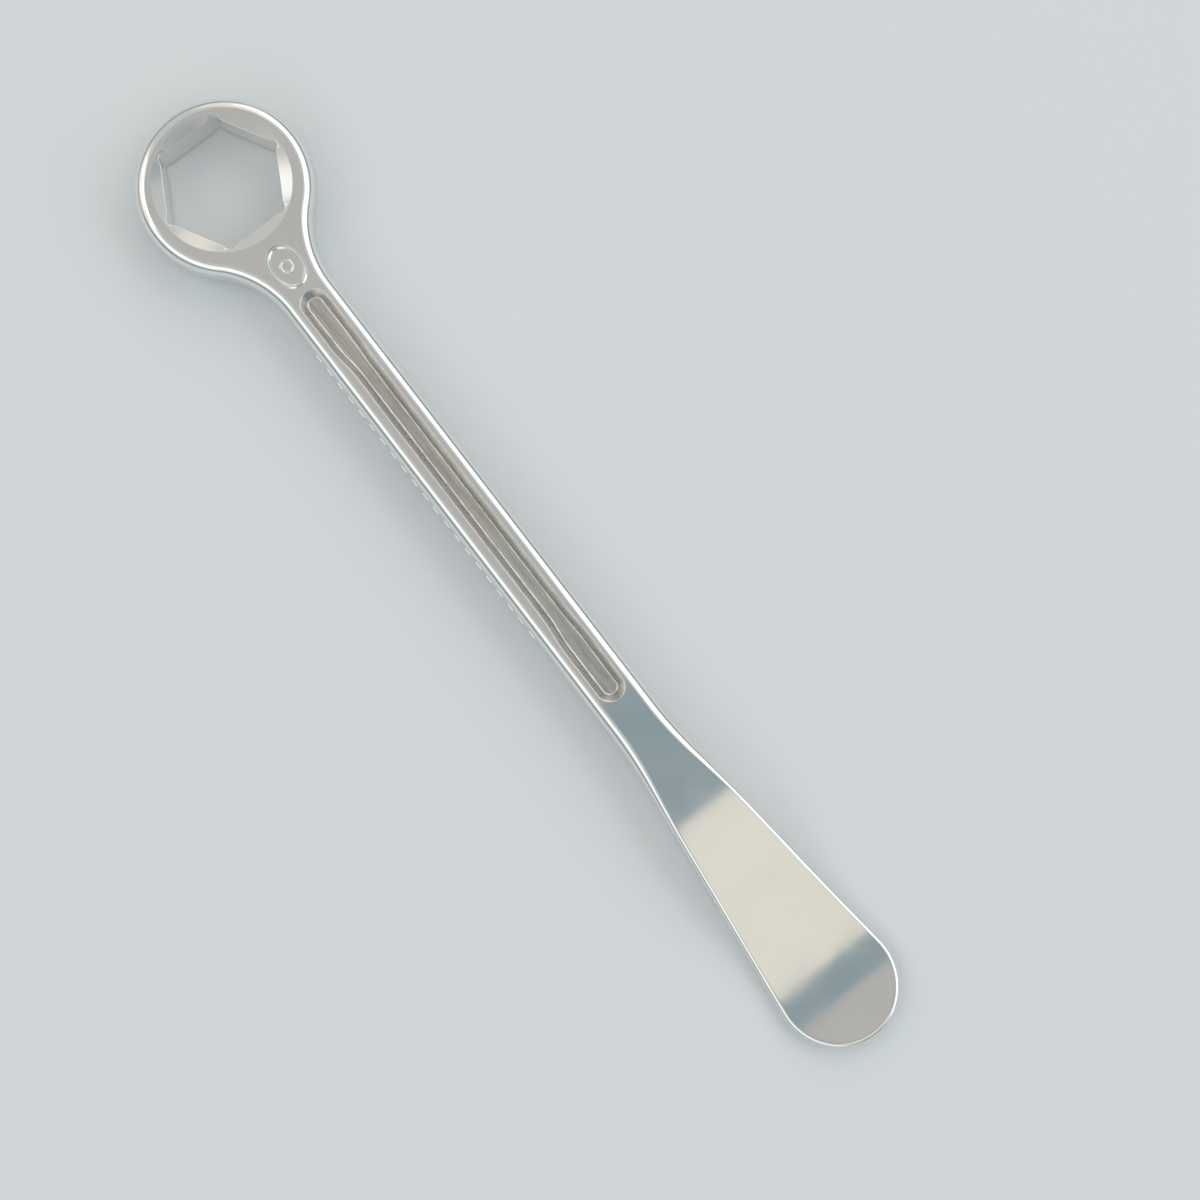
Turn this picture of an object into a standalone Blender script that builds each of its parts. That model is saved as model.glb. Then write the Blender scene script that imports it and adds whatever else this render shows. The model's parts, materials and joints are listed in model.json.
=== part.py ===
"""Combination tyre lever: a spoon blade, a fluted shank and a box-end wrench head.

One aluminium forging.  The wrench axis is vertical and the lever lies along X,
head towards -X, blade towards +X, resting on z = 0.  Lengths are in metres.
"""
import math

import bmesh
import bpy
from mathutils import Matrix, Vector

MM = 0.001

# ---- driving dimensions --------------------------------------------------------
OVERALL_LENGTH = 273.2 * MM
BODY_THICKNESS = 11.0 * MM          # head, neck and shank, between their flat faces
EDGE_ROUND = 3.1 * MM               # rounding of the outer edges of the body

HEX_ACROSS_FLATS = 27.0 * MM
HEX_RELIEF_LENGTH = 1.8 * MM        # each flat turns outwards this far from its sharp corner
HEX_RELIEF_ANGLE = math.radians(20.0)
HEX_CORNER_RADIUS = 1.5 * MM
HEAD_WALL = 5.35 * MM               # ring wall outside the corner reliefs
HEAD_OFFSET = 0.75 * MM             # ring's centre, from the socket's axis towards the shank
CHAMFER_MARGIN = 0.9 * MM           # lead-in cone of either face, out from the corner reliefs
CHAMFER_ANGLE = math.radians(11.0)

SHANK_WIDTH = 13.8 * MM
NECK_FILLET_RADIUS = 24.0 * MM
LAND_WIDTH = 0.25 * MM              # flat strip between edge rounding and the trough's ends
LIP_WIDTH = 0.15 * MM               # bevelled lip of the trough
LIP_DROP = 0.1 * MM
TROUGH_DEPTH = 2.2 * MM
TROUGH_WALL = 1.5 * MM              # sloping wall, as wide as it looks from above
TROUGH_TO_FLARE = 14.1 * MM         # from the trough's end to the blade's flare
WAIST_RIB_SIDE = 0.7 * MM           # how much narrower the trough is between its ends, at -Y
WAIST_PLAIN_SIDE = 0.24 * MM        # and at +Y
WAIST_FROM_HEAD_END = 14.2 * MM     # waist's start and end, from the trough's ends
WAIST_FROM_BLADE_END = 16.5 * MM
WAIST_BLEND = 9.0 * MM

BADGE_LENGTH = 11.4 * MM
BADGE_WIDTH = 8.5 * MM
BADGE_BEAD = 1.05 * MM              # width of the raised oval bead
BADGE_RISE = 0.35 * MM
CHAMFER_TO_BADGE = 2.65 * MM
BADGE_TO_TROUGH = 1.75 * MM
MOTIF_ACROSS_FLATS = 3.2 * MM       # plain hexagon inside the oval
MOTIF_BEAD = 0.6 * MM

RIB_PITCH = 4.1 * MM                # plain grip ribs on one side of the shank
RIB_LENGTH = 2.3 * MM
RIB_HEIGHT = 3.4 * MM
RIB_RISE = 0.3 * MM
RIBS_FROM_HEAD_END = 13.6 * MM      # first and last rib, from the trough's ends
RIBS_FROM_BLADE_END = 20.8 * MM

BLADE_HALF_ANGLE = math.radians(6.55)   # flare of each side of the blade
FLARE_BLEND_RADIUS = 150.0 * MM
TIP_RADIUS = 15.0 * MM              # plan radius of the blade's end
BLADE_EDGE_ROUND = 1.4 * MM         # width of the blade's edge rounding
ROUND_CHANGE_BEFORE = 8.0 * MM      # the rounding narrows between these two, about the flare
ROUND_CHANGE_AFTER = 22.0 * MM
EDGE_DEPTH_SHARE = 0.42             # rounding's depth, at most, of the thickness
BELLY_TO_TIP = 20.7 * MM
BELLY_THICKNESS = 3.0 * MM
TIP_THICKNESS = 2.4 * MM
TAPER_ANGLE = math.radians(1.5)     # first fall of the top face, before the scoop
TAPER_LENGTH = 31.0 * MM
TAPER_BLEND_RADIUS = 60.0 * MM
SHOULDER_RADIUS = 100.0 * MM        # convex, then concave, in the top face
SCOOP_RADIUS = 90.0 * MM

METAL_COLOUR = (0.84, 0.84, 0.82, 1)
METAL_ROUGHNESS = 0.18

# ---- derived sizes -------------------------------------------------------------
HEX_CORNER_ANGLE = math.radians(30)     # from a flat's middle to its corner
HEX_APOTHEM = HEX_ACROSS_FLATS / 2
HEX_HALF_FLAT = HEX_APOTHEM * math.tan(HEX_CORNER_ANGLE) - HEX_RELIEF_LENGTH
RELIEF_APEX = ((HEX_APOTHEM - HEX_HALF_FLAT * math.tan(HEX_RELIEF_ANGLE))
               / (math.cos(HEX_CORNER_ANGLE) - math.tan(HEX_RELIEF_ANGLE) * math.sin(HEX_CORNER_ANGLE)))
CORNER_SWEEP = HEX_CORNER_ANGLE + HEX_RELIEF_ANGLE      # each side of the corner's middle
CORNER_CENTRE = RELIEF_APEX - HEX_CORNER_RADIUS / math.cos(CORNER_SWEEP)
CORNER_REACH = CORNER_CENTRE + HEX_CORNER_RADIUS
CHAMFER_RADIUS = CORNER_REACH + CHAMFER_MARGIN
HEAD_RADIUS = CORNER_REACH + HEAD_WALL
HALF_SHANK = SHANK_WIDTH / 2
TIP_X = OVERALL_LENGTH - HEAD_RADIUS + HEAD_OFFSET      # with the wrench axis at x = 0
CENTRE_SHIFT = OVERALL_LENGTH / 2 - TIP_X               # moves the lever's middle to x = 0

FILLET_Y = HALF_SHANK + NECK_FILLET_RADIUS
FILLET_RUN = math.sqrt((HEAD_RADIUS + NECK_FILLET_RADIUS) ** 2 - FILLET_Y ** 2)
FILLET_X = HEAD_OFFSET + FILLET_RUN
FILLET_ANGLE = math.atan2(FILLET_Y, FILLET_RUN)

TIP_ARC_X = TIP_X - TIP_RADIUS
FLARE_END_X = TIP_ARC_X - TIP_RADIUS * math.sin(BLADE_HALF_ANGLE)
FLARE_END_Y = TIP_RADIUS * math.cos(BLADE_HALF_ANGLE)
FLARE_X = FLARE_END_X - (FLARE_END_Y - HALF_SHANK) / math.tan(BLADE_HALF_ANGLE)
FLARE_BLEND = FLARE_BLEND_RADIUS * math.tan(BLADE_HALF_ANGLE / 2)

BADGE_X = CHAMFER_RADIUS + CHAMFER_TO_BADGE + BADGE_LENGTH / 2
TROUGH_START_X = BADGE_X + BADGE_LENGTH / 2 + BADGE_TO_TROUGH
TROUGH_END_X = FLARE_X - TROUGH_TO_FLARE
TROUGH_MOUTH = HALF_SHANK - EDGE_ROUND - LAND_WIDTH     # half width at the ends, at the face
WAIST_START_X = TROUGH_START_X + WAIST_FROM_HEAD_END
WAIST_END_X = TROUGH_END_X - WAIST_FROM_BLADE_END

BELLY_X = TIP_X - BELLY_TO_TIP


def solve_scoop():
    """Steepest angle of the top face, and where its shoulder starts.

    Taper, shoulder and scoop together fall from the body's face to the belly.
    """
    fall = BODY_THICKNESS - BELLY_THICKNESS
    fall -= TAPER_BLEND_RADIUS * (1 - math.cos(TAPER_ANGLE)) + TAPER_LENGTH * math.tan(TAPER_ANGLE)
    both_radii = SHOULDER_RADIUS + SCOOP_RADIUS
    cosine = (SHOULDER_RADIUS * math.cos(TAPER_ANGLE) + SCOOP_RADIUS - fall) / both_radii
    steepest = math.acos(cosine)
    run = SHOULDER_RADIUS * (math.sin(steepest) - math.sin(TAPER_ANGLE)) + SCOOP_RADIUS * math.sin(steepest)
    return steepest, BELLY_X - run


STEEPEST_ANGLE, SHOULDER_X = solve_scoop()
INFLECTION_X = BELLY_X - SCOOP_RADIUS * math.sin(STEEPEST_ANGLE)
TAPER_X = SHOULDER_X - TAPER_LENGTH - TAPER_BLEND_RADIUS * math.sin(TAPER_ANGLE)
SHOULDER_Z = (BODY_THICKNESS - TAPER_BLEND_RADIUS * (1 - math.cos(TAPER_ANGLE))
              - TAPER_LENGTH * math.tan(TAPER_ANGLE))
TIP_TOP_Z = BELLY_THICKNESS + SCOOP_RADIUS - math.sqrt(SCOOP_RADIUS ** 2 - BELLY_TO_TIP ** 2)
UNDER_RISE = TIP_TOP_Z - TIP_THICKNESS
SOLE_RADIUS = (BELLY_TO_TIP ** 2 + UNDER_RISE ** 2) / (2 * UNDER_RISE)

# ---- facet sizes ---------------------------------------------------------------
ARC_STEP = math.radians(5.0)
CORNER_ARC_STEP = math.radians(25.0)
TROUGH_ARC_STEP = math.radians(10.0)
EDGE_STEPS = 5
BLADE_STEP = 2.5 * MM
CONE_SIDES = 72
OVAL_SIDES = 36
BEAD_RESOLUTION = 3
CLEAR = 1.0 * MM                    # how far a cutter reaches past a face
WELD = 0.002 * MM                   # corners closer than this are one
SMOOTH_ANGLE = math.radians(30)


def top_z(x):
    """Height of the lever's top face along its length."""
    if x <= TAPER_X:
        return BODY_THICKNESS
    blend_end = TAPER_X + TAPER_BLEND_RADIUS * math.sin(TAPER_ANGLE)
    if x <= blend_end:
        return BODY_THICKNESS - TAPER_BLEND_RADIUS + math.sqrt(TAPER_BLEND_RADIUS ** 2 - (x - TAPER_X) ** 2)
    if x <= SHOULDER_X:
        return SHOULDER_Z + (SHOULDER_X - x) * math.tan(TAPER_ANGLE)
    if x <= INFLECTION_X:
        centre_x = SHOULDER_X - SHOULDER_RADIUS * math.sin(TAPER_ANGLE)
        centre_z = SHOULDER_Z - SHOULDER_RADIUS * math.cos(TAPER_ANGLE)
        return centre_z + math.sqrt(SHOULDER_RADIUS ** 2 - (x - centre_x) ** 2)
    return BELLY_THICKNESS + SCOOP_RADIUS - math.sqrt(SCOOP_RADIUS ** 2 - (x - BELLY_X) ** 2)


def sole_z(x):
    """Height of the lever's underside: flat, then curling up to the tip."""
    if x <= BELLY_X:
        return 0.0
    return SOLE_RADIUS - math.sqrt(SOLE_RADIUS ** 2 - (x - BELLY_X) ** 2)


def round_width(x):
    """Plan width of the edge rounding, narrower on the blade."""
    share = (x - FLARE_X + ROUND_CHANGE_BEFORE) / (ROUND_CHANGE_BEFORE + ROUND_CHANGE_AFTER)
    share = min(max(share, 0.0), 1.0)
    eased = share * share * (3 - 2 * share)
    return EDGE_ROUND + (BLADE_EDGE_ROUND - EDGE_ROUND) * eased


def arc(centre_x, centre_y, radius, start, end, step_angle=ARC_STEP):
    """Points along an arc, both ends included, with the arc's radial directions."""
    count = max(2, math.ceil(abs(end - start) / step_angle))
    for step in range(count + 1):
        angle = start + (end - start) * step / count
        radial = Vector((math.cos(angle), math.sin(angle)))
        yield Vector((centre_x, centre_y)) + radius * radial, radial


def half_outline():
    """The +Y half of the plan outline, head to tip: points and outward normals."""
    rows = list(arc(HEAD_OFFSET, 0, HEAD_RADIUS, math.pi, math.pi / 2))
    rows += list(arc(HEAD_OFFSET, 0, HEAD_RADIUS, math.pi / 2, FILLET_ANGLE))[1:]
    neck = arc(FILLET_X, FILLET_Y, NECK_FILLET_RADIUS, math.pi + FILLET_ANGLE, 1.5 * math.pi)
    rows += [(point, -radial) for point, radial in neck][1:]

    blend_start = FLARE_X - FLARE_BLEND
    straight = TAPER_X
    while straight < blend_start:
        rows.append((Vector((straight, HALF_SHANK)), Vector((0, 1))))
        straight += BLADE_STEP
    blend_y = HALF_SHANK + FLARE_BLEND_RADIUS
    steps = math.ceil(2 * FLARE_BLEND / BLADE_STEP)
    for step in range(steps + 1):
        angle = -math.pi / 2 + BLADE_HALF_ANGLE * step / steps
        radial = Vector((math.cos(angle), math.sin(angle)))
        rows.append((Vector((blend_start, blend_y)) + FLARE_BLEND_RADIUS * radial, -radial))

    slope = Vector((math.cos(BLADE_HALF_ANGLE), math.sin(BLADE_HALF_ANGLE)))
    normal = Vector((-slope.y, slope.x))
    first = rows[-1][0]
    last = Vector((FLARE_END_X, FLARE_END_Y))
    steps = math.ceil((last - first).length / BLADE_STEP)
    rows += [(first.lerp(last, step / steps), normal) for step in range(1, steps)]
    rows += list(arc(TIP_ARC_X, 0, TIP_RADIUS, math.pi / 2 + BLADE_HALF_ANGLE, 0))
    return rows


def edge_section(point, normal):
    """Vertices down the edge at one outline point: face, rounding, side, rounding, face."""
    width = round_width(point.x)
    thickness = top_z(point.x) - sole_z(point.x)
    depth = min(width, EDGE_DEPTH_SHARE * thickness)
    above = []
    below = []
    for step in range(EDGE_STEPS + 1):
        angle = math.pi / 2 * step / EDGE_STEPS
        spot = point - normal * width * (1 - math.sin(angle))
        drop = depth * (1 - math.cos(angle))
        above.append(Vector((spot.x, max(spot.y, 0.0), top_z(spot.x) - drop)))
        below.append(Vector((spot.x, max(spot.y, 0.0), sole_z(spot.x) + drop)))
    section = above + below[::-1]
    top_middle = Vector((above[0].x, 0, above[0].z))
    sole_middle = Vector((below[0].x, 0, below[0].z))
    return [top_middle] + section + [sole_middle]


def make_body(parts):
    """Half of the forging's outer skin, lofted along the outline and mirrored."""
    sections = [edge_section(point, normal) for point, normal in half_outline()]
    mesh = bpy.data.meshes.new("lever_forging")
    skin = bmesh.new()
    rows = [[skin.verts.new(corner) for corner in section] for section in sections]
    for here, there in zip(rows, rows[1:]):
        for column in range(len(here) - 1):
            skin.faces.new((here[column], here[column + 1], there[column + 1], there[column]))
    bmesh.ops.remove_doubles(skin, verts=skin.verts, dist=WELD)
    bmesh.ops.recalc_face_normals(skin, faces=skin.faces)
    skin.to_mesh(mesh)
    skin.free()

    body = bpy.data.objects.new("lever_forging", mesh)
    parts.objects.link(body)
    body.location.x = CENTRE_SHIFT
    mirror = body.modifiers.new("mirror", 'MIRROR')
    mirror.use_axis = (False, True, False)
    mirror.merge_threshold = WELD
    return body


def add_tool(name, skin, tools):
    """Keep a closed mesh as a cutter or an addition, hidden from rendering."""
    bmesh.ops.recalc_face_normals(skin, faces=skin.faces)
    mesh = bpy.data.meshes.new(name)
    skin.to_mesh(mesh)
    skin.free()
    tool = bpy.data.objects.new(name, mesh)
    tools.objects.link(tool)
    tool.location.x = CENTRE_SHIFT
    tool.hide_render = True
    tool.display_type = 'WIRE'
    return tool


def make_cone(name, inner, outer, tools):
    """A round cone between two (radius, height) ends."""
    skin = bmesh.new()
    for radius, height in (inner, outer):
        bmesh.ops.create_circle(skin, cap_ends=True, segments=CONE_SIDES, radius=radius,
                                matrix=Matrix.Translation((0, 0, height)))
    bmesh.ops.bridge_loops(skin, edges=skin.edges[:])
    return add_tool(name, skin, tools)


def make_lead_in(name, face_z, into, tools):
    """Cutter for the shallow cone round the socket in one of the flat faces."""
    inner_radius = HEX_APOTHEM - CLEAR
    depth = (CHAMFER_RADIUS - inner_radius) * math.tan(CHAMFER_ANGLE)
    inner = (inner_radius, face_z + into * depth)
    outer = (CHAMFER_RADIUS + CLEAR / math.tan(CHAMFER_ANGLE), face_z - into * CLEAR)
    return make_cone(name, inner, outer, tools)


def hex_outline():
    """Socket outline: six flats that turn outwards at both ends, with rounded corners."""
    half_flat_angle = math.atan2(HEX_HALF_FLAT, HEX_APOTHEM)
    to_flat_end = math.hypot(HEX_HALF_FLAT, HEX_APOTHEM)
    points = []
    for side in range(6):
        square_on = math.radians(60 * side)
        for angle in (square_on - half_flat_angle, square_on + half_flat_angle):
            points.append(to_flat_end * Vector((math.cos(angle), math.sin(angle))))
        corner = square_on + HEX_CORNER_ANGLE
        centre = CORNER_CENTRE * Vector((math.cos(corner), math.sin(corner)))
        bend = arc(centre.x, centre.y, HEX_CORNER_RADIUS, corner - CORNER_SWEEP, corner + CORNER_SWEEP,
                   CORNER_ARC_STEP)
        points += [point for point, radial in bend]
    return points


def prism(name, points, bottom, top, tools):
    """A flat outline pushed through from bottom to top."""
    skin = bmesh.new()
    base = skin.faces.new([skin.verts.new((point.x, point.y, bottom)) for point in points])
    pushed = bmesh.ops.extrude_face_region(skin, geom=[base])
    lifted = [item for item in pushed["geom"] if isinstance(item, bmesh.types.BMVert)]
    bmesh.ops.translate(skin, verts=lifted, vec=(0, 0, top - bottom))
    return add_tool(name, skin, tools)


def trough_profile():
    """Half cross-section of the trough's ends: distance from its middle line, and depth."""
    lip = TROUGH_MOUTH - LIP_WIDTH
    above = CLEAR * LIP_DROP / LIP_WIDTH
    return ((TROUGH_MOUTH + CLEAR, -above),
            (lip, LIP_DROP),
            (lip - TROUGH_WALL, TROUGH_DEPTH))


def make_trough(name, face_z, into, tools):
    """A long round-ended trough, waisted between its ends: outlines stacked from mouth to floor."""
    skin = bmesh.new()
    rings = []
    first_x = TROUGH_START_X + TROUGH_MOUTH
    last_x = TROUGH_END_X - TROUGH_MOUTH
    waist = ((WAIST_START_X, 0.0), (WAIST_START_X + WAIST_BLEND, 1.0),
             (WAIST_END_X - WAIST_BLEND, 1.0), (WAIST_END_X, 0.0))
    for reach, depth in trough_profile():
        blade_end = arc(last_x, 0, reach, -math.pi / 2, math.pi / 2, TROUGH_ARC_STEP)
        head_end = arc(first_x, 0, reach, math.pi / 2, 1.5 * math.pi, TROUGH_ARC_STEP)
        outline = [point for point, radial in blade_end]
        outline += [Vector((x, reach - WAIST_PLAIN_SIDE * share)) for x, share in reversed(waist)]
        outline += [point for point, radial in head_end]
        outline += [Vector((x, WAIST_RIB_SIDE * share - reach)) for x, share in waist]
        rings.append([skin.verts.new((point.x, point.y, face_z + into * depth)) for point in outline])
    for outer, inner in zip(rings, rings[1:]):
        for index in range(len(outer)):
            after = (index + 1) % len(outer)
            skin.faces.new((outer[index], outer[after], inner[after], inner[index]))
    skin.faces.new(rings[0])
    skin.faces.new(rings[-1])
    return add_tool(name, skin, tools)


def make_bead(name, points, width, rise, parts, tools):
    """A raised bead along a closed line on the top face: a round wire half sunk in it."""
    radius = (width ** 2 / 4 + rise ** 2) / (2 * rise)
    curve = bpy.data.curves.new(name, 'CURVE')
    curve.dimensions = '3D'
    curve.bevel_depth = radius
    curve.bevel_resolution = BEAD_RESOLUTION
    wire = curve.splines.new('POLY')
    wire.points.add(len(points) - 1)
    for slot, point in zip(wire.points, points):
        slot.co = (point.x, point.y, BODY_THICKNESS + rise - radius, 1)
    wire.use_cyclic_u = True
    drawn = bpy.data.objects.new(name + "_line", curve)
    parts.objects.link(drawn)
    bpy.context.view_layer.update()
    seen = drawn.evaluated_get(bpy.context.evaluated_depsgraph_get())
    mesh = bpy.data.meshes.new_from_object(seen)
    bpy.data.objects.remove(drawn)
    skin = bmesh.new()
    skin.from_mesh(mesh)
    bpy.data.meshes.remove(mesh)
    bmesh.ops.remove_doubles(skin, verts=skin.verts, dist=WELD)
    return add_tool(name, skin, tools)


def make_ribs(tools):
    """Plain raised ribs along the shank's -Y side."""
    skin = bmesh.new()
    first = TROUGH_START_X + RIBS_FROM_HEAD_END
    room = TROUGH_END_X - RIBS_FROM_BLADE_END - first
    sunk = EDGE_ROUND / 2
    for rib in range(math.floor(room / RIB_PITCH) + 1):
        middle = Vector((first + rib * RIB_PITCH, -HALF_SHANK + (sunk - RIB_RISE) / 2, BODY_THICKNESS / 2))
        size = (RIB_LENGTH, sunk + RIB_RISE, RIB_HEIGHT, 1)
        bmesh.ops.create_cube(skin, size=1, matrix=Matrix.Translation(middle) @ Matrix.Diagonal(size))
    return add_tool("side_ribs", skin, tools)


def oval(length, width, count):
    """Points round an oval in the badge's place."""
    for step in range(count):
        angle = math.tau * step / count
        yield Vector((BADGE_X + length / 2 * math.cos(angle), width / 2 * math.sin(angle)))


def combine(body, tool, operation):
    """Cut the tool out of the body, or join it on."""
    boolean = body.modifiers.new(tool.name, 'BOOLEAN')
    boolean.operation = operation
    boolean.solver = 'EXACT'
    boolean.object = tool


def aluminium():
    """Polished forged aluminium."""
    material = bpy.data.materials.new("polished_aluminium")
    material.use_nodes = True
    shader = material.node_tree.nodes["Principled BSDF"]
    shader.inputs["Base Color"].default_value = METAL_COLOUR
    shader.inputs["Metallic"].default_value = 1.0
    shader.inputs["Roughness"].default_value = METAL_ROUGHNESS
    return material


def build():
    for item in list(bpy.data.objects):
        bpy.data.objects.remove(item)
    parts = bpy.data.collections.new("tyre_lever")
    tools = bpy.data.collections.new("tyre_lever_tools")
    bpy.context.scene.collection.children.link(parts)
    bpy.context.scene.collection.children.link(tools)

    body = make_body(parts)
    combine(body, make_trough("trough_above", BODY_THICKNESS, -1, tools), 'DIFFERENCE')
    combine(body, make_trough("trough_below", 0.0, 1, tools), 'DIFFERENCE')
    combine(body, make_lead_in("lead_in_above", BODY_THICKNESS, -1, tools), 'DIFFERENCE')
    combine(body, make_lead_in("lead_in_below", 0.0, 1, tools), 'DIFFERENCE')
    combine(body, prism("hex_socket", hex_outline(), -CLEAR, BODY_THICKNESS + CLEAR, tools), 'DIFFERENCE')

    badge = list(oval(BADGE_LENGTH - BADGE_BEAD, BADGE_WIDTH - BADGE_BEAD, OVAL_SIDES))
    combine(body, make_bead("badge_bead", badge, BADGE_BEAD, BADGE_RISE, parts, tools), 'UNION')
    across_corners = (MOTIF_ACROSS_FLATS - MOTIF_BEAD) / math.cos(HEX_CORNER_ANGLE)
    motif = list(oval(across_corners, across_corners, 6))
    combine(body, make_bead("badge_motif", motif, MOTIF_BEAD, BADGE_RISE, parts, tools), 'UNION')
    combine(body, make_ribs(tools), 'UNION')

    body.data.materials.append(aluminium())
    body.data.shade_smooth()
    body.data.set_sharp_from_angle(angle=SMOOTH_ANGLE)


build()
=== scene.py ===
"""Looks of the tyre lever: one polished aluminium forging, rebuilt as a fine mesh.

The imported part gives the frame.  The fine mesh repeats the forging's design with smooth
fillets; x is measured from the wrench axis, y = 0 is the middle plane, z = 0 the rest plane.
"""

import json
import math

import bmesh
import bpy
from mathutils import Matrix, Vector


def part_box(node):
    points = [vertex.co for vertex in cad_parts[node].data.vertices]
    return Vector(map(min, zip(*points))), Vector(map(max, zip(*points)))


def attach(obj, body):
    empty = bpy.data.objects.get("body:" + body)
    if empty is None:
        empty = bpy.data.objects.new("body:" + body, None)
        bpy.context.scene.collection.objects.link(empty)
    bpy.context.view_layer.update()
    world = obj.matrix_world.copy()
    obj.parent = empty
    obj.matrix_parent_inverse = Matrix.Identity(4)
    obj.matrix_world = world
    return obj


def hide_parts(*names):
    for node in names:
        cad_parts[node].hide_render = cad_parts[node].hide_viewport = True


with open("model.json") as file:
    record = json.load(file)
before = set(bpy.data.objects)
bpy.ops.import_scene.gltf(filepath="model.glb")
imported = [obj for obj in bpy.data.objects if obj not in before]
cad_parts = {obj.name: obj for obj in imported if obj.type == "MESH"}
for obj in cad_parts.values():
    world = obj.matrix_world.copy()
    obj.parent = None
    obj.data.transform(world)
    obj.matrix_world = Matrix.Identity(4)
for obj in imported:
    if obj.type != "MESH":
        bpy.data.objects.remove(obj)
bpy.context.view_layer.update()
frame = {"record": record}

MM = 0.001
NODE = "lever_forging"
LOW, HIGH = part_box(NODE)
MOUNTS = {mount["name"]: mount["pos_m"] for mount in frame["record"]["mounts"]}
SOCKET_NEAR = MOUNTS["socket_flat_blade_side"][0]
SOCKET_FAR = MOUNTS["socket_flat_outer_side"][0]

# ---- sizes that the frame gives -------------------------------------------------
AXIS_X = (SOCKET_NEAR + SOCKET_FAR) / 2
HEX_APOTHEM = (SOCKET_NEAR - SOCKET_FAR) / 2
HEAD_RADIUS = HIGH.y
HEAD_OFFSET = LOW.x + HEAD_RADIUS - AXIS_X
TIP_X = HIGH.x - AXIS_X
BODY_THICKNESS = 11.0 * MM
BADGE_RISE = HIGH.z - BODY_THICKNESS

# ---- the forging's other sizes --------------------------------------------------
EDGE_ROUND = 3.1 * MM               # rounding of the body's outer edges
HEX_RELIEF_LENGTH = 1.8 * MM        # end of each flat that turns outwards
HEX_RELIEF_ANGLE = math.radians(20.0)
HEX_CORNER_RADIUS = 1.5 * MM
CHAMFER_TO_RING = 4.45 * MM         # from the lead-in cone's radius to the ring's
CHAMFER_ANGLE = math.radians(11.0)
CHAMFER_RIM_FILLET = 1.5 * MM       # between the flat face and the cone
CHAMFER_FOOT_FILLET = 0.22 * MM     # between the cone and the socket's wall
SOCKET_BORDER = 0.4 * MM            # flat border round the cone
HALF_SHANK = 6.9 * MM
NECK_FILLET_RADIUS = 24.0 * MM

CHAMFER_TO_TROUGH = 15.8 * MM
TROUGH_MOUTH = 3.55 * MM            # half width at the face, near the ends
TROUGH_DEPTH = 2.2 * MM
TROUGH_SLOPE_WIDTH = 1.65 * MM
TROUGH_LIP_FILLET = 0.23 * MM
TROUGH_FLOOR_FILLET = 0.8 * MM
TROUGH_BORDER = 0.12 * MM           # flat border round the lip
TROUGH_TO_FLARE = 14.1 * MM
WAIST_RIB_SIDE = 0.7 * MM           # narrowing of the trough on the side with the ribs
WAIST_PLAIN_SIDE = 0.24 * MM
WAIST_FROM_HEAD_END = 14.2 * MM
WAIST_FROM_BLADE_END = 16.5 * MM
WAIST_BLEND = 9.0 * MM
FORGED_FROM_DEPTH = 0.3 * MM        # depth below the face where the as-forged surface starts
FORGED_BLEND = 0.3 * MM

BADGE_MIDDLE_TO_TROUGH = 7.45 * MM
BADGE_HALF_LENGTH = 5.7 * MM
BADGE_HALF_WIDTH = 4.25 * MM
BADGE_BEAD = 1.05 * MM              # width of the oval bead
MOTIF_RADIUS = 1.5 * MM
MOTIF_CORNER_RADIUS = 0.45 * MM
MOTIF_BEAD = 0.6 * MM
BEAD_BORDER = 0.1 * MM              # flat border on either side of a bead
BEAD_FOOT = 0.95                    # the bead's foot, crest and fillets, as shares of its half width
BEAD_CREST = 0.25
BEAD_FOOT_FILLET = 0.3
BEAD_CREST_FILLET = 0.42

RIB_PITCH = 4.1 * MM
RIB_LENGTH = 2.3 * MM
RIB_HEIGHT = 3.4 * MM
RIB_RISE = 0.3 * MM
RIB_CORNER_RADIUS = 0.3 * MM        # more than the cap's inset, or the cap folds over
RIB_CAP_INSET = 0.22 * MM
RIB_FOOT = 0.12 * MM                # spread of the rib's foot
RIB_BORDER = 0.35 * MM              # flat border round the foot
RIB_FOOT_FILLET = 0.15 * MM
RIB_CAP_FILLET = 0.25 * MM
RIBS_FROM_HEAD_END = 13.6 * MM
RIBS_FROM_BLADE_END = 20.8 * MM

BLADE_HALF_ANGLE = math.radians(6.55)
FLARE_BLEND_RADIUS = 150.0 * MM
TIP_RADIUS = 15.0 * MM
BLADE_EDGE_ROUND = 1.4 * MM
ROUND_CHANGE_BEFORE = 8.0 * MM      # the rounding narrows from here, before the flare
ROUND_CHANGE_AFTER = 22.0 * MM
EDGE_DEPTH_SHARE = 0.42             # deepest the rounding reaches, as a share of the thickness
BELLY_TO_TIP = 20.7 * MM            # from the blade's thinnest place to the tip
BELLY_THICKNESS = 3.0 * MM
TIP_THICKNESS = 2.4 * MM
TAPER_ANGLE = math.radians(1.5)
TAPER_LENGTH = 31.0 * MM
TAPER_BLEND_RADIUS = 60.0 * MM
SHOULDER_RADIUS = 100.0 * MM
SCOOP_RADIUS = 90.0 * MM

# ---- fineness of the mesh -------------------------------------------------------
ARC_STEP = math.radians(1.5)
SMALL_ARC_STEP = math.radians(8)    # socket and motif corners, and bead fillets
TROUGH_END_STEP = math.radians(6)
FILLET_STEP = math.radians(9)
RIB_FILLET_STEP = math.radians(10)
RIB_CORNER_STEP = math.radians(15)
BLADE_STEP = 1.0 * MM
TROUGH_STEP = 1.0 * MM
FLAT_BORDER = 1.0 * MM              # from the trough's end to the finer part of the flat face
EDGE_STEPS = 14
ACROSS = 12
HALF_FLAT_STEPS = 12
OVAL_STEPS = 96
WELD_DISTANCE = 0.0005 * MM

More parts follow.
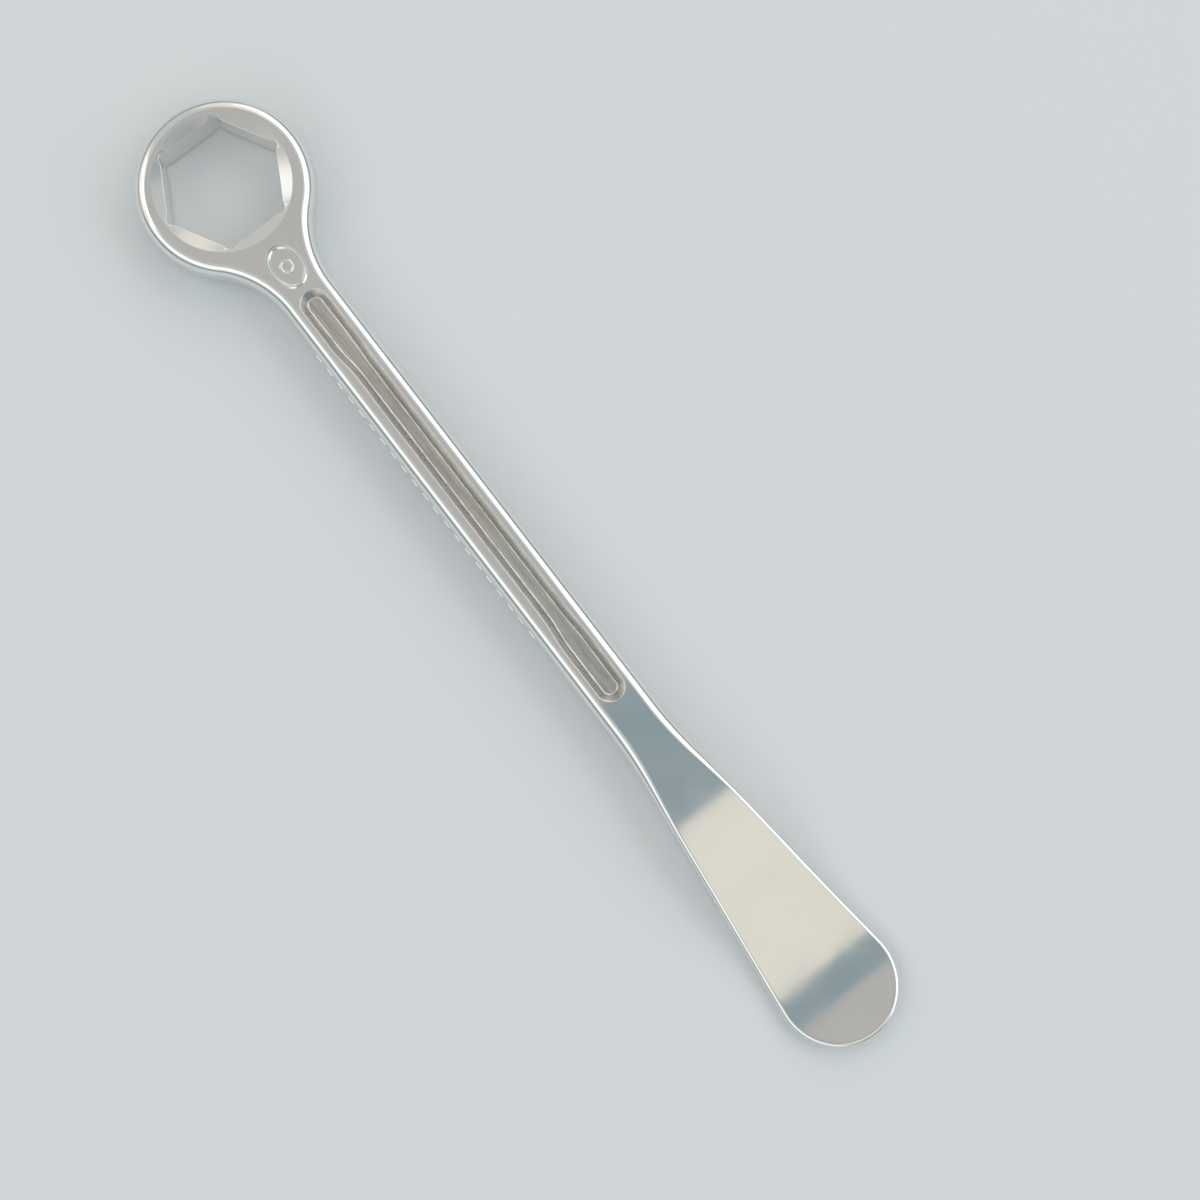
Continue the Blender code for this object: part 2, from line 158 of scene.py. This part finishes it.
# ---- worked out from the sizes --------------------------------------------------
HEX_HALF_FLAT = HEX_APOTHEM * math.tan(math.radians(30)) - HEX_RELIEF_LENGTH
CHAMFER_RADIUS = HEAD_RADIUS - CHAMFER_TO_RING
TROUGH_START_X = CHAMFER_RADIUS + CHAMFER_TO_TROUGH
BADGE_X = TROUGH_START_X - BADGE_MIDDLE_TO_TROUGH
FILLET_Y = HALF_SHANK + NECK_FILLET_RADIUS
FILLET_RUN = math.sqrt((HEAD_RADIUS + NECK_FILLET_RADIUS) ** 2 - FILLET_Y ** 2)
FILLET_X = HEAD_OFFSET + FILLET_RUN
FILLET_ANGLE = math.atan2(FILLET_Y, FILLET_RUN)
TIP_ARC_X = TIP_X - TIP_RADIUS
FLARE_END_X = TIP_ARC_X - TIP_RADIUS * math.sin(BLADE_HALF_ANGLE)
FLARE_END_Y = TIP_RADIUS * math.cos(BLADE_HALF_ANGLE)
FLARE_X = FLARE_END_X - (FLARE_END_Y - HALF_SHANK) / math.tan(BLADE_HALF_ANGLE)
FLARE_BLEND = FLARE_BLEND_RADIUS * math.tan(BLADE_HALF_ANGLE / 2)
TROUGH_END_X = FLARE_X - TROUGH_TO_FLARE
WAIST_START_X = TROUGH_START_X + WAIST_FROM_HEAD_END
WAIST_END_X = TROUGH_END_X - WAIST_FROM_BLADE_END
BELLY_X = TIP_X - BELLY_TO_TIP
FALL = (BODY_THICKNESS - BELLY_THICKNESS - TAPER_BLEND_RADIUS * (1 - math.cos(TAPER_ANGLE))
        - TAPER_LENGTH * math.tan(TAPER_ANGLE))
STEEPEST = math.acos((SHOULDER_RADIUS * math.cos(TAPER_ANGLE) + SCOOP_RADIUS - FALL)
                     / (SHOULDER_RADIUS + SCOOP_RADIUS))
INFLECTION_X = BELLY_X - SCOOP_RADIUS * math.sin(STEEPEST)
SHOULDER_X = INFLECTION_X - SHOULDER_RADIUS * (math.sin(STEEPEST) - math.sin(TAPER_ANGLE))
TAPER_X = SHOULDER_X - TAPER_LENGTH - TAPER_BLEND_RADIUS * math.sin(TAPER_ANGLE)
SHOULDER_Z = BELLY_THICKNESS + FALL
TIP_TOP_Z = BELLY_THICKNESS + SCOOP_RADIUS - math.sqrt(SCOOP_RADIUS ** 2 - BELLY_TO_TIP ** 2)
UNDER_RISE = TIP_TOP_Z - TIP_THICKNESS
SOLE_RADIUS = (BELLY_TO_TIP ** 2 + UNDER_RISE ** 2) / (2 * UNDER_RISE)


def top_z(x):
    """Height of the lever's top face along its length."""
    if x <= TAPER_X:
        return BODY_THICKNESS
    if x <= TAPER_X + TAPER_BLEND_RADIUS * math.sin(TAPER_ANGLE):
        rise = math.sqrt(TAPER_BLEND_RADIUS ** 2 - (x - TAPER_X) ** 2)
        return BODY_THICKNESS - TAPER_BLEND_RADIUS + rise
    if x <= SHOULDER_X:
        return SHOULDER_Z + (SHOULDER_X - x) * math.tan(TAPER_ANGLE)
    if x <= INFLECTION_X:
        centre_x = SHOULDER_X - SHOULDER_RADIUS * math.sin(TAPER_ANGLE)
        centre_z = SHOULDER_Z - SHOULDER_RADIUS * math.cos(TAPER_ANGLE)
        return centre_z + math.sqrt(SHOULDER_RADIUS ** 2 - (x - centre_x) ** 2)
    return BELLY_THICKNESS + SCOOP_RADIUS - math.sqrt(SCOOP_RADIUS ** 2 - (x - BELLY_X) ** 2)


def sole_z(x):
    """Height of the underside: flat, then curling up to the tip."""
    if x <= BELLY_X:
        return 0.0
    return SOLE_RADIUS - math.sqrt(SOLE_RADIUS ** 2 - (x - BELLY_X) ** 2)


def eased(share):
    """Smooth step from 0 to 1."""
    share = min(max(share, 0.0), 1.0)
    return share * share * (3 - 2 * share)


def round_width(x):
    """Plan width of the edge rounding, narrower on the blade."""
    share = (x - FLARE_X + ROUND_CHANGE_BEFORE) / (ROUND_CHANGE_BEFORE + ROUND_CHANGE_AFTER)
    return EDGE_ROUND + (BLADE_EDGE_ROUND - EDGE_ROUND) * eased(share)


def waist(x):
    """Share of the trough's narrowing at x, from 0 near its ends to 1 between them."""
    return min(eased((x - WAIST_START_X) / WAIST_BLEND), eased((WAIST_END_X - x) / WAIST_BLEND))


def arc(centre, radius, start, end, step=ARC_STEP):
    """Points along an arc, both ends included, each with its radial direction."""
    count = max(2, math.ceil(abs(end - start) / step))
    points = []
    for index in range(count + 1):
        angle = start + (end - start) * index / count
        radial = Vector((math.cos(angle), math.sin(angle)))
        points.append((Vector(centre) + radius * radial, radial))
    return points


def filleted(points, radii, step=FILLET_STEP):
    """A polyline whose inner corners are rounded to the given radii."""
    line = [Vector(points[0])]
    for before, corner, after, radius in zip(points, points[1:], points[2:], radii):
        back = (Vector(before) - Vector(corner)).normalized()
        ahead = (Vector(after) - Vector(corner)).normalized()
        turn = math.pi - back.angle(ahead)
        reach = radius * math.tan(turn / 2)
        middle = Vector(corner) + (back + ahead).normalized() * radius / math.cos(turn / 2)
        start = Vector(corner) + back * reach - middle
        end = Vector(corner) + ahead * reach - middle
        count = max(2, math.ceil(turn / step))
        for index in range(count + 1):
            share = index / count
            spoke = start * math.sin((1 - share) * turn) + end * math.sin(share * turn)
            line.append(middle + spoke / math.sin(turn))
    line.append(Vector(points[-1]))
    return line


def half_outline():
    """The +Y half of the plan outline, head to tip: points and outward normals."""
    rows = arc((HEAD_OFFSET, 0), HEAD_RADIUS, math.pi, math.pi / 2)
    rows += arc((HEAD_OFFSET, 0), HEAD_RADIUS, math.pi / 2, FILLET_ANGLE)[1:]
    neck = arc((FILLET_X, FILLET_Y), NECK_FILLET_RADIUS, math.pi + FILLET_ANGLE, 1.5 * math.pi)
    rows += [(point, -radial) for point, radial in neck][1:]
    blend_start = FLARE_X - FLARE_BLEND
    room = blend_start - FILLET_X
    steps = math.ceil(room / BLADE_STEP)
    rows += [(Vector((FILLET_X + room * step / steps, HALF_SHANK)), Vector((0, 1)))
             for step in range(1, steps)]
    blend = arc((blend_start, HALF_SHANK + FLARE_BLEND_RADIUS), FLARE_BLEND_RADIUS,
                -math.pi / 2, BLADE_HALF_ANGLE - math.pi / 2, BLADE_STEP / FLARE_BLEND_RADIUS)
    rows += [(point, -radial) for point, radial in blend]
    normal = Vector((-math.sin(BLADE_HALF_ANGLE), math.cos(BLADE_HALF_ANGLE)))
    first = rows[-1][0]
    last = Vector((FLARE_END_X, FLARE_END_Y))
    steps = math.ceil((last - first).length / BLADE_STEP)
    rows += [(first.lerp(last, step / steps), normal) for step in range(1, steps)]
    rows += arc((TIP_ARC_X, 0), TIP_RADIUS, math.pi / 2 + BLADE_HALF_ANGLE, 0)
    return rows


def edge_section(point, normal):
    """Points round the edge: face, rounding, side, rounding, face."""
    width = round_width(point.x)
    depth = min(width, EDGE_DEPTH_SHARE * (top_z(point.x) - sole_z(point.x)))
    above = []
    below = []
    for step in range(EDGE_STEPS + 1):
        angle = math.pi / 2 * step / EDGE_STEPS
        spot = point - normal * width * (1 - math.sin(angle))
        drop = depth * (1 - math.cos(angle))
        above.append(Vector((spot.x, max(spot.y, 0.0), top_z(spot.x) - drop)))
        below.append(Vector((spot.x, max(spot.y, 0.0), sole_z(spot.x) + drop)))
    return above + below[::-1]


def bridge(skin, here, there, closed=False):
    """Faces between two rows of vertices, leaving out corners that coincide."""
    last = len(here) if closed else len(here) - 1
    for index in range(last):
        after = (index + 1) % len(here)
        corners = []
        for corner in (here[index], here[after], there[after], there[index]):
            if corner not in corners:
                corners.append(corner)
        if len(corners) > 2:
            skin.faces.new(corners)


def sweep(skin, outlines):
    """Closed rings of vertices through the outlines, bridged in turn; gives the first and last."""
    rings = [[skin.verts.new(point) for point in outline] for outline in outlines]
    for here, there in zip(rings, rings[1:]):
        bridge(skin, here, there, closed=True)
    return rings[0], rings[-1]


def loop_edges(skin, ring):
    """Edges along a closed ring of vertices, made where there are none."""
    edges = []
    for index, vert in enumerate(ring):
        after = ring[(index + 1) % len(ring)]
        edges.append(skin.edges.get((vert, after)) or skin.edges.new((vert, after)))
    return edges


def fill(skin, rings):
    """Fill a flat region between its outer ring and the rings inside it."""
    edges = [edge for ring in rings for edge in loop_edges(skin, ring)]
    bmesh.ops.triangle_fill(skin, use_beauty=True, use_dissolve=False, edges=edges)


def body_skin(skin):
    """The forging's rounded edge and blade; gives the rims of both flat faces and of the ribs' side."""
    half = [edge_section(point, normal) for point, normal in half_outline()]
    upper = [[skin.verts.new(corner) for corner in section] for section in half]
    lower = [upper[0]]
    for section in half[1:-1]:
        lower.append([skin.verts.new((corner.x, -corner.y, corner.z)) for corner in section])
    lower.append(upper[-1])

    side = EDGE_STEPS
    first_rib, last_rib = rib_span()
    rib_rows = [index for index, section in enumerate(half)
                if first_rib - RIB_LENGTH < section[side].x < last_rib + RIB_LENGTH]
    for rows in (upper, lower):
        for index in range(len(rows) - 1):
            here, there = rows[index], rows[index + 1]
            if rows is lower and rib_rows[0] <= index < rib_rows[-1]:
                bridge(skin, here[:side + 1], there[:side + 1])
                bridge(skin, here[side + 1:], there[side + 1:])
            else:
                bridge(skin, here, there)

    flat_end = next(index for index, section in enumerate(half)
                    if section[0].x > TROUGH_END_X + FLAT_BORDER)
    rims = []
    for column, height in ((0, top_z), (-1, sole_z)):
        lines = []
        for index in range(flat_end, len(half)):
            left, right = lower[index][column], upper[index][column]
            if left is right:
                lines.append([left] * (ACROSS + 1))
                continue
            line = [left]
            for step in range(1, ACROSS):
                spot = left.co.lerp(right.co, step / ACROSS)
                line.append(skin.verts.new((spot.x, spot.y, height(spot.x))))
            lines.append(line + [right])
        for here, there in zip(lines, lines[1:]):
            bridge(skin, here, there)
        rim = [row[column] for row in upper[:flat_end]] + lines[0][::-1]
        rim += [row[column] for row in lower[1:flat_end]][::-1]
        rims.append(rim)
    rib_rim = [lower[index][side] for index in rib_rows]
    rib_rim += [lower[index][side + 1] for index in reversed(rib_rows)]
    return rims[0], rims[1], rib_rim


def hex_points():
    """Socket outline: six flats that turn outwards at both ends, with rounded corners."""
    apex = ((HEX_APOTHEM - HEX_HALF_FLAT * math.tan(HEX_RELIEF_ANGLE))
            / (math.cos(math.radians(30)) - math.tan(HEX_RELIEF_ANGLE) * math.sin(math.radians(30))))
    sweep_angle = math.radians(30) + HEX_RELIEF_ANGLE
    centre_reach = apex - HEX_CORNER_RADIUS / math.cos(sweep_angle)
    points = []
    for side in range(6):
        turn = Matrix.Rotation(math.radians(60 * side), 2)
        flat = [Vector((HEX_APOTHEM, HEX_HALF_FLAT * step / HALF_FLAT_STEPS))
                for step in range(-HALF_FLAT_STEPS, HALF_FLAT_STEPS + 1)]
        corner = math.radians(30)
        centre = centre_reach * Vector((math.cos(corner), math.sin(corner)))
        bend = arc(centre, HEX_CORNER_RADIUS, corner - sweep_angle, corner + sweep_angle, SMALL_ARC_STEP)
        points += [turn @ point for point in flat]
        points += [turn @ point for point, radial in bend]
    return points


def socket_skin(skin):
    """Hexagon socket with its lead-in cones; gives its rims on the top and bottom faces."""
    border = CHAMFER_RADIUS + SOCKET_BORDER
    columns = []
    for point in hex_points():
        reach = point.length
        top_edge = BODY_THICKNESS - (CHAMFER_RADIUS - reach) * math.tan(CHAMFER_ANGLE)
        low_edge = BODY_THICKNESS - top_edge
        profile = filleted([(border, BODY_THICKNESS), (CHAMFER_RADIUS, BODY_THICKNESS), (reach, top_edge),
                            (reach, low_edge), (CHAMFER_RADIUS, 0.0), (border, 0.0)],
                           [CHAMFER_RIM_FILLET, CHAMFER_FOOT_FILLET, CHAMFER_FOOT_FILLET, CHAMFER_RIM_FILLET])
        outward = point / reach
        columns.append([Vector((outward.x * spot.x, outward.y * spot.x, spot.y)) for spot in profile])
    outlines = [list(ring) for ring in zip(*columns)]
    return sweep(skin, outlines)


def trough_skin(skin, face, into):
    """Round-ended trough with a filleted lip and floor; gives its rim on the face."""
    profile = filleted([(TROUGH_MOUTH + TROUGH_BORDER, 0.0), (TROUGH_MOUTH, 0.0),
                        (TROUGH_MOUTH - TROUGH_SLOPE_WIDTH, TROUGH_DEPTH), (0.0, TROUGH_DEPTH)],
                       [TROUGH_LIP_FILLET, TROUGH_FLOOR_FILLET])
    first_x = TROUGH_START_X + TROUGH_MOUTH
    last_x = TROUGH_END_X - TROUGH_MOUTH
    steps = math.ceil((last_x - first_x) / TROUGH_STEP)
    along = [first_x + (last_x - first_x) * step / steps for step in range(1, steps)]
    outlines = []
    for reach, depth in profile[:-1]:
        blade_end = arc((last_x, 0), reach, -math.pi / 2, math.pi / 2, TROUGH_END_STEP)
        head_end = arc((first_x, 0), reach, math.pi / 2, 1.5 * math.pi, TROUGH_END_STEP)
        plan = [point for point, radial in blade_end]
        plan += [Vector((x, reach - WAIST_PLAIN_SIDE * waist(x))) for x in reversed(along)]
        plan += [point for point, radial in head_end]
        plan += [Vector((x, WAIST_RIB_SIDE * waist(x) - reach)) for x in along]
        outlines.append([Vector((point.x, point.y, face(point.x) + into * depth)) for point in plan])
    rim, floor = sweep(skin, outlines)
    fill(skin, [floor])
    return rim


def bead_skin(skin, line, normals, width, rise):
    """A raised bead along a closed line on the top face; gives its outer and inner rims."""
    half = width / 2
    profile = filleted([(half + BEAD_BORDER, 0.0), (BEAD_FOOT * half, 0.0), (BEAD_CREST * half, rise),
                        (-BEAD_CREST * half, rise), (-BEAD_FOOT * half, 0.0), (-half - BEAD_BORDER, 0.0)],
                       [BEAD_FOOT_FILLET * half, BEAD_CREST_FILLET * half,
                        BEAD_CREST_FILLET * half, BEAD_FOOT_FILLET * half], SMALL_ARC_STEP)
    outlines = []
    for offset, height in profile:
        outlines.append([Vector((point.x + normal.x * offset, point.y + normal.y * offset,
                                 BODY_THICKNESS + height)) for point, normal in zip(line, normals)])
    return sweep(skin, outlines)


def badge_skin(skin):
    """Oval bead round a small hexagon bead; gives the oval's outer rim."""
    line = []
    normals = []
    long_half = BADGE_HALF_LENGTH - BADGE_BEAD / 2
    short_half = BADGE_HALF_WIDTH - BADGE_BEAD / 2
    for step in range(OVAL_STEPS):
        angle = math.tau * step / OVAL_STEPS
        line.append(Vector((BADGE_X + long_half * math.cos(angle), short_half * math.sin(angle))))
        normals.append(Vector((short_half * math.cos(angle), long_half * math.sin(angle))).normalized())
    outer, inner = bead_skin(skin, line, normals, BADGE_BEAD, BADGE_RISE)
    line = []
    normals = []
    corner_reach = MOTIF_RADIUS - MOTIF_CORNER_RADIUS
    for corner in range(6):
        angle = math.radians(60 * corner)
        centre = (BADGE_X + corner_reach * math.cos(angle), corner_reach * math.sin(angle))
        bend = arc(centre, MOTIF_CORNER_RADIUS, angle - math.radians(30), angle + math.radians(30),
                   SMALL_ARC_STEP)
        line += [point for point, radial in bend]
        normals += [radial for point, radial in bend]
    motif_outer, motif_inner = bead_skin(skin, line, normals, MOTIF_BEAD, BADGE_RISE)
    fill(skin, [inner, motif_outer])
    fill(skin, [motif_inner])
    return outer


def rib_span():
    """Middles of the first and last rib."""
    first = TROUGH_START_X + RIBS_FROM_HEAD_END
    room = TROUGH_END_X - RIBS_FROM_BLADE_END - first
    return first, first + RIB_PITCH * math.floor(room / RIB_PITCH)


def rib_skins(skin):
    """Raised ribs with rounded edges along the shank's -Y side; gives their rims."""
    first, last = rib_span()
    rims = []
    profile = filleted([(RIB_BORDER, 0.0), (RIB_FOOT, 0.0), (0.0, RIB_RISE), (-RIB_CAP_INSET, RIB_RISE)],
                       [RIB_FOOT_FILLET, RIB_CAP_FILLET], RIB_FILLET_STEP)
    for rib in range(round((last - first) / RIB_PITCH) + 1):
        middle_x = first + rib * RIB_PITCH
        outlines = []
        for offset, rise in profile:
            ring = []
            for quarter in range(4):
                start = quarter * math.pi / 2
                sign_x = 1 if quarter in (0, 3) else -1
                sign_z = 1 if quarter in (0, 1) else -1
                centre = (middle_x + sign_x * (RIB_LENGTH / 2 - RIB_CORNER_RADIUS),
                          BODY_THICKNESS / 2 + sign_z * (RIB_HEIGHT / 2 - RIB_CORNER_RADIUS))
                bend = arc(centre, RIB_CORNER_RADIUS + offset, start, start + math.pi / 2, RIB_CORNER_STEP)
                ring += [Vector((point.x, -HALF_SHANK - rise, point.y)) for point, radial in bend]
            outlines.append(ring)
        rim, cap = sweep(skin, outlines)
        skin.faces.new(cap)
        rims.append(rim)
    return rims


def as_forged(spot):
    """1 on the troughs' floors and walls, 0 on the polished surface, softly changing at the lips."""
    inside = (TROUGH_START_X < spot.x < TROUGH_END_X) and abs(spot.y) < TROUGH_MOUTH
    if not inside:
        return 0.0
    depth = min(top_z(spot.x) - spot.z, spot.z - sole_z(spot.x))
    return eased((depth - FORGED_FROM_DEPTH) / FORGED_BLEND)


def make_lever():
    """The whole forging as one closed fine mesh."""
    skin = bmesh.new()
    top_rim, sole_rim, rib_rim = body_skin(skin)
    socket_top, socket_sole = socket_skin(skin)
    trough_top = trough_skin(skin, top_z, -1)
    trough_sole = trough_skin(skin, sole_z, 1)
    badge_rim = badge_skin(skin)
    fill(skin, [top_rim, socket_top, trough_top, badge_rim])
    fill(skin, [sole_rim, socket_sole, trough_sole])
    fill(skin, [rib_rim] + rib_skins(skin))
    bmesh.ops.remove_doubles(skin, verts=skin.verts, dist=WELD_DISTANCE)
    bmesh.ops.recalc_face_normals(skin, faces=skin.faces)
    mesh = bpy.data.meshes.new("lever")
    skin.to_mesh(mesh)
    skin.free()
    mesh.shade_smooth()
    forged = mesh.attributes.new("as_forged", 'FLOAT', 'POINT')
    for vert, share in zip(mesh.vertices, forged.data):
        share.value = as_forged(vert.co)
    lever = bpy.data.objects.new("lever", mesh)
    bpy.context.scene.collection.objects.link(lever)
    lever.location.x = AXIS_X
    weighted = lever.modifiers.new("weighted_normals", 'WEIGHTED_NORMAL')
    weighted.keep_sharp = True
    weighted.weight = 100
    return lever


# ---- material -------------------------------------------------------------------
POLISHED_DARK = (0.83, 0.83, 0.81, 1)
POLISHED_LIGHT = (0.92, 0.91, 0.885, 1)
FORGED_DARK = (0.50, 0.48, 0.44, 1)
FORGED_LIGHT = (0.80, 0.78, 0.74, 1)
WAVE_HEIGHT = 0.2 * MM              # slow waves left by polishing
GRAIN_HEIGHT = 0.02 * MM            # polishing lines along the lever
PIT_DEPTH = 0.3 * MM                # of the as-forged surface


def polished_aluminium():
    """Polished metal with faint waves and grain; darker, rougher and pitted where it is as forged."""
    material = bpy.data.materials.new("polished_aluminium")
    material.use_nodes = True
    nodes = material.node_tree.nodes
    links = material.node_tree.links
    shader = nodes["Principled BSDF"]
    shader.inputs["Metallic"].default_value = 1.0
    place = nodes.new("ShaderNodeTexCoord")
    mask = nodes.new("ShaderNodeAttribute")
    mask.attribute_name = "as_forged"
    forged = mask.outputs["Fac"]

    def noise(scale, detail=2.0, stretch=(1, 1, 1), roughness=0.5):
        mapping = nodes.new("ShaderNodeMapping")
        mapping.inputs["Scale"].default_value = stretch
        links.new(place.outputs["Object"], mapping.inputs["Vector"])
        texture = nodes.new("ShaderNodeTexNoise")
        texture.inputs["Scale"].default_value = scale
        texture.inputs["Detail"].default_value = detail
        texture.inputs["Roughness"].default_value = roughness
        links.new(mapping.outputs["Vector"], texture.inputs["Vector"])
        return texture.outputs["Fac"]

    def remap(value, low, high, out_low, out_high):
        ranged = nodes.new("ShaderNodeMapRange")
        ranged.inputs["From Min"].default_value = low
        ranged.inputs["From Max"].default_value = high
        ranged.inputs["To Min"].default_value = out_low
        ranged.inputs["To Max"].default_value = out_high
        links.new(value, ranged.inputs["Value"])
        return ranged.outputs["Result"]

    def tint(value, dark, light, low=0.0, high=1.0):
        ramp = nodes.new("ShaderNodeValToRGB")
        ramp.color_ramp.elements[0].color = dark
        ramp.color_ramp.elements[1].color = light
        ramp.color_ramp.elements[0].position = low
        ramp.color_ramp.elements[1].position = high
        links.new(value, ramp.inputs["Fac"])
        return ramp.outputs["Color"]

    def blend(kind, polished, rough):
        mix = nodes.new("ShaderNodeMix")
        mix.data_type = kind
        links.new(forged, mix.inputs["Factor"])
        links.new(polished, mix.inputs["A"])
        links.new(rough, mix.inputs["B"])
        return mix.outputs["Result"]

    def bump(height, distance, under=None):
        node = nodes.new("ShaderNodeBump")
        node.inputs["Distance"].default_value = distance
        links.new(height, node.inputs["Height"])
        if under:
            links.new(under.outputs["Normal"], node.inputs["Normal"])
        return node

    polished_tint = tint(noise(60.0, 3.0), POLISHED_DARK, POLISHED_LIGHT)
    forged_tint = tint(noise(900.0, 5.0, (0.06, 1, 1), 0.65), FORGED_DARK, FORGED_LIGHT, 0.3, 0.7)
    links.new(blend('RGBA', polished_tint, forged_tint), shader.inputs["Base Color"])

    polished_roughness = remap(noise(90.0, 4.0), 0.3, 0.7, 0.10, 0.15)
    forged_roughness = remap(noise(700.0, 4.0), 0.3, 0.7, 0.17, 0.28)
    links.new(blend('FLOAT', polished_roughness, forged_roughness), shader.inputs["Roughness"])

    waves = bump(noise(130.0, 1.0), WAVE_HEIGHT)
    waves.inputs["Strength"].default_value = 0.15
    grain = bump(noise(1.0, 2.0, (300, 6000, 6000)), GRAIN_HEIGHT, waves)
    grain.inputs["Strength"].default_value = 0.10
    pits = bump(noise(1100.0, 4.0, (0.12, 1, 1), 0.6), PIT_DEPTH, grain)
    links.new(remap(forged, 0.0, 1.0, 0.0, 0.45), pits.inputs["Strength"])
    links.new(pits.outputs["Normal"], shader.inputs["Normal"])
    return material


# ---- stage ----------------------------------------------------------------------
FLOOR_COLOUR = (0.76, 0.80, 0.83, 1)
FLOOR_HALF_SIZE = 1.5
FLOOR_GAP = 0.02 * MM               # keeps the floor clear of the flat underside
LIGHT_DISTANCE = 5.0                # far enough for the reflections to be alike all along the lever
WARM = (1.0, 0.79, 0.60)
WORLD_COLOUR = (0.27, 0.35, 0.39, 1)

CAMERA_LENS = 60.4
CAMERA_EYE = Vector((0.0153, -0.0184, 0.4813))
CAMERA_AIM = Vector((0.0151, 0.0112, 0.0))
CAMERA_HEADING = math.radians(52.46)    # of the camera's right-hand side, from +X


def make_floor():
    """Plain pale floor just under the lever."""
    skin = bmesh.new()
    bmesh.ops.create_grid(skin, x_segments=2, y_segments=2, size=FLOOR_HALF_SIZE)
    mesh = bpy.data.meshes.new("floor")
    skin.to_mesh(mesh)
    skin.free()
    floor = bpy.data.objects.new("floor", mesh)
    floor.location.z = -FLOOR_GAP
    bpy.context.scene.collection.objects.link(floor)
    material = bpy.data.materials.new("pale_floor")
    material.use_nodes = True
    shader = material.node_tree.nodes["Principled BSDF"]
    shader.inputs["Base Color"].default_value = FLOOR_COLOUR
    shader.inputs["Roughness"].default_value = 0.7
    mesh.materials.append(material)


def direction(along, across):
    """Unit vector tilted from straight up: along = towards +X, across = towards +Y, in degrees."""
    tilt = math.radians(math.hypot(along, across))
    heading = math.atan2(across, along)
    return Vector((math.sin(tilt) * math.cos(heading), math.sin(tilt) * math.sin(heading), math.cos(tilt)))


def panel(name, along, across, size_along, size_across, radiance, colour=(1, 1, 1), spin=0.0):
    """A soft light: its middle's tilt from straight up, and its sizes, in degrees seen from the part."""
    lamp = bpy.data.lights.new(name, 'AREA')
    lamp.shape = 'RECTANGLE'
    lamp.size = 2 * LIGHT_DISTANCE * math.tan(math.radians(size_along / 2))
    lamp.size_y = 2 * LIGHT_DISTANCE * math.tan(math.radians(size_across / 2))
    lamp.energy = radiance * math.pi * lamp.size * lamp.size_y
    lamp.color = colour
    holder = bpy.data.objects.new(name, lamp)
    bpy.context.scene.collection.objects.link(holder)
    ray = direction(along, across)
    side = Vector((1, 0, 0))
    side = (side - ray * side.dot(ray)).normalized()
    up = ray.cross(side)
    basis = Matrix((side, up, ray)).transposed().to_4x4()
    holder.matrix_world = (Matrix.Translation(ray * LIGHT_DISTANCE) @ basis
                           @ Matrix.Rotation(math.radians(spin), 4, 'Z'))


def make_lights():
    """Soft panels overhead and all round, against an even blue-grey world."""
    panel("overhead", -9.2, -1, 24.4, 31, 0.23, (1.0, 0.62, 0.42))
    panel("blade_panel", 29.1, 0, 33.8, 30, 0.53, (1.0, 0.806, 0.593))
    panel("right_surround", 0, 44, 120, 54, 0.31, WARM)
    panel("left_surround", -49, 0, 52, 110, 0.31, WARM)
    panel("front_surround", 0, -44, 120, 54, 0.28, WARM)
    panel("right_softbox", 22, 36, 44, 22, 0.34)
    panel("right_bright", 10, 53, 110, 36, 0.75)
    panel("left_softbox", -36, -26, 30, 26, 0.55, spin=35.8)
    panel("front_softbox", 18, -50, 80, 26, 0.60)
    world = bpy.data.worlds.new("studio")
    bpy.context.scene.world = world
    world.use_nodes = True
    background = world.node_tree.nodes["Background"]
    background.inputs["Color"].default_value = WORLD_COLOUR
    background.inputs["Strength"].default_value = 1.0


def make_camera():
    """Camera above the lever, turned about the view axis by its heading."""
    camera = bpy.data.cameras.new("camera")
    camera.sensor_width = 36
    camera.lens = CAMERA_LENS
    holder = bpy.data.objects.new("camera", camera)
    bpy.context.scene.collection.objects.link(holder)
    ahead = (CAMERA_AIM - CAMERA_EYE).normalized()
    right = Vector((math.cos(CAMERA_HEADING), math.sin(CAMERA_HEADING), 0))
    right = (right - ahead * right.dot(ahead)).normalized()
    up = right.cross(ahead)
    basis = Matrix((right, up, -ahead)).transposed().to_4x4()
    holder.matrix_world = Matrix.Translation(CAMERA_EYE) @ basis
    bpy.context.scene.camera = holder


lever = make_lever()
lever.data.materials.append(polished_aluminium())
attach(lever, "root")
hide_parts(NODE)
make_floor()
make_lights()
make_camera()
bpy.context.scene.view_settings.view_transform = 'Standard'
